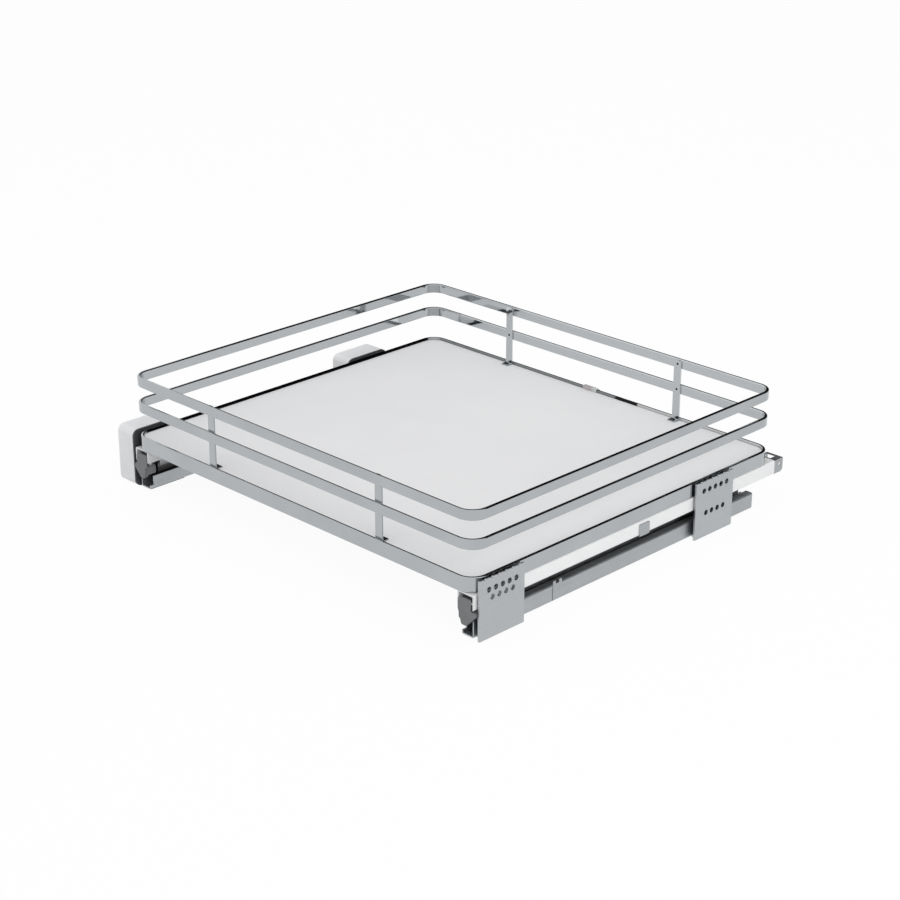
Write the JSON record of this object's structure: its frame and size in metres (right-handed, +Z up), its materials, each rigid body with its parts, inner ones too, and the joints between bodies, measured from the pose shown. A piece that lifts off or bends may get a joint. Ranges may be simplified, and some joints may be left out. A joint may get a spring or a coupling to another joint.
{
  "type": "pull-out drawer basket",
  "caption": "Pull-out tray basket with strip guard rails on full-extension undermount slides, screwed to cabinet sides by side brackets and spacer blocks.",
  "frame": {"origin": "middle of the whole object's footprint, level with the underside of the brackets' webs", "axes": "+X to the right as seen from the front, +Y to the rear of the cabinet, +Z up"},
  "size_m": [0.564, 0.49, 0.1364],
  "materials": {
    "panel": "white melamine coating, satin",
    "strip": "polished plated steel",
    "rail_steel": "zinc-plated sheet steel",
    "white_rail": "near-white coated sheet steel",
    "bracket_steel": "plated sheet steel",
    "dark_bracket": "dark grey coated sheet steel",
    "spacer_plastic": "white moulded plastic",
    "clip_plastic": "grey moulded plastic",
    "cage_plastic": "natural moulded plastic",
    "roller_steel": "ground steel",
    "buffer_rubber": "black rubber",
    "cylinder_metal": "dark grey coating",
    "screw_steel": "plated steel",
    "cover": "pale moulded plastic"
  },
  "bodies": {
    "root": {"left_cabinet_rail": "rail_steel", "right_cabinet_rail": "rail_steel", "left_rear_buffer": "buffer_rubber", "right_rear_buffer": "buffer_rubber", "left_damper_carrier": "clip_plastic", "right_damper_carrier": "clip_plastic", "left_damper_cylinder": "cylinder_metal", "right_damper_cylinder": "cylinder_metal", "left_front_bracket": "dark_bracket", "left_rear_bracket": "dark_bracket", "right_front_bracket": "bracket_steel", "right_rear_bracket": "bracket_steel", "bracket_rivets": "screw_steel", "front_spacer": "spacer_plastic", "rear_spacer": "spacer_plastic", "spacer_screws": "screw_steel"},
    "basket": {"tray_panel": "panel", "tray_rim": "strip", "rim_joint_cover": "cover", "rim_joint_screw": "screw_steel", "lower_guard_rail": "strip", "upper_guard_rail": "strip", "front_left_upright": "strip", "front_right_upright": "strip", "rear_left_upright": "strip", "rear_right_upright": "strip", "upright_rivets": "screw_steel", "foot_screws": "screw_steel", "tray_screws": "screw_steel", "left_drawer_rail": "white_rail", "right_drawer_rail": "white_rail", "left_rear_hook": "rail_steel", "right_rear_hook": "rail_steel", "hook_rivets": "screw_steel", "rail_side_tabs": "rail_steel", "damper_catches": "rail_steel", "left_front_clip": "clip_plastic", "right_front_clip": "clip_plastic", "lever_pins": "screw_steel"},
    "left_middle": {"left_middle_rail": "rail_steel"},
    "left_lower_bearing": {"left_lower_cage": "cage_plastic", "left_lower_rollers": "roller_steel"},
    "left_upper_bearing": {"left_upper_cage": "cage_plastic", "left_upper_rollers": "roller_steel"},
    "left_plunger": {"left_damper_plunger": "roller_steel"},
    "left_lever": {"left_release_lever": "clip_plastic"},
    "right_middle": {"right_middle_rail": "rail_steel"},
    "right_lower_bearing": {"right_lower_cage": "cage_plastic", "right_lower_rollers": "roller_steel"},
    "right_upper_bearing": {"right_upper_cage": "cage_plastic", "right_upper_rollers": "roller_steel"},
    "right_plunger": {"right_damper_plunger": "roller_steel"},
    "right_lever": {"right_release_lever": "clip_plastic"}
  },
  "joints": [
    {"name": "basket_slide", "type": "slide", "parent": "root", "child": "basket", "axis": [0, -1, 0], "range_m": [0, 0.44]},
    {"name": "left_middle_slide", "type": "slide", "parent": "root", "child": "left_middle", "axis": [0, -1, 0], "range_m": [0, 0.22]},
    {"name": "left_lower_bearing_slide", "type": "slide", "parent": "root", "child": "left_lower_bearing", "axis": [0, -1, 0], "range_m": [0, 0.11]},
    {"name": "left_upper_bearing_slide", "type": "slide", "parent": "root", "child": "left_upper_bearing", "axis": [0, -1, 0], "range_m": [0, 0.33]},
    {"name": "left_plunger_stroke", "type": "slide", "parent": "root", "child": "left_plunger", "axis": [0, -1, 0], "range_m": [0, 0.0401]},
    {"name": "left_lever_hinge", "type": "hinge", "parent": "basket", "child": "left_lever", "pos_m": [-0.2402, -0.2385, 0.0335], "axis": [-1, 0, 0], "range_deg": [0, 18], "stiffness_Nm_per_rad": 0.1},
    {"name": "right_middle_slide", "type": "slide", "parent": "root", "child": "right_middle", "axis": [0, -1, 0], "range_m": [0, 0.22]},
    {"name": "right_lower_bearing_slide", "type": "slide", "parent": "root", "child": "right_lower_bearing", "axis": [0, -1, 0], "range_m": [0, 0.11]},
    {"name": "right_upper_bearing_slide", "type": "slide", "parent": "root", "child": "right_upper_bearing", "axis": [0, -1, 0], "range_m": [0, 0.33]},
    {"name": "right_plunger_stroke", "type": "slide", "parent": "root", "child": "right_plunger", "axis": [0, -1, 0], "range_m": [0, 0.0401]},
    {"name": "right_lever_hinge", "type": "hinge", "parent": "basket", "child": "right_lever", "pos_m": [0.267, -0.2385, 0.0335], "axis": [-1, 0, 0], "range_deg": [0, 18], "stiffness_Nm_per_rad": 0.1}
  ],
  "couplings": [
    {"joint": "left_middle_slide", "follows": "basket_slide", "ratio": 0.5},
    {"joint": "left_lower_bearing_slide", "follows": "basket_slide", "ratio": 0.25},
    {"joint": "left_upper_bearing_slide", "follows": "basket_slide", "ratio": 0.75},
    {"joint": "left_plunger_stroke", "follows": "basket_slide", "ratio": 0.090909},
    {"joint": "right_middle_slide", "follows": "basket_slide", "ratio": 0.5},
    {"joint": "right_lower_bearing_slide", "follows": "basket_slide", "ratio": 0.25},
    {"joint": "right_upper_bearing_slide", "follows": "basket_slide", "ratio": 0.75},
    {"joint": "right_plunger_stroke", "follows": "basket_slide", "ratio": 0.090909}
  ]
}
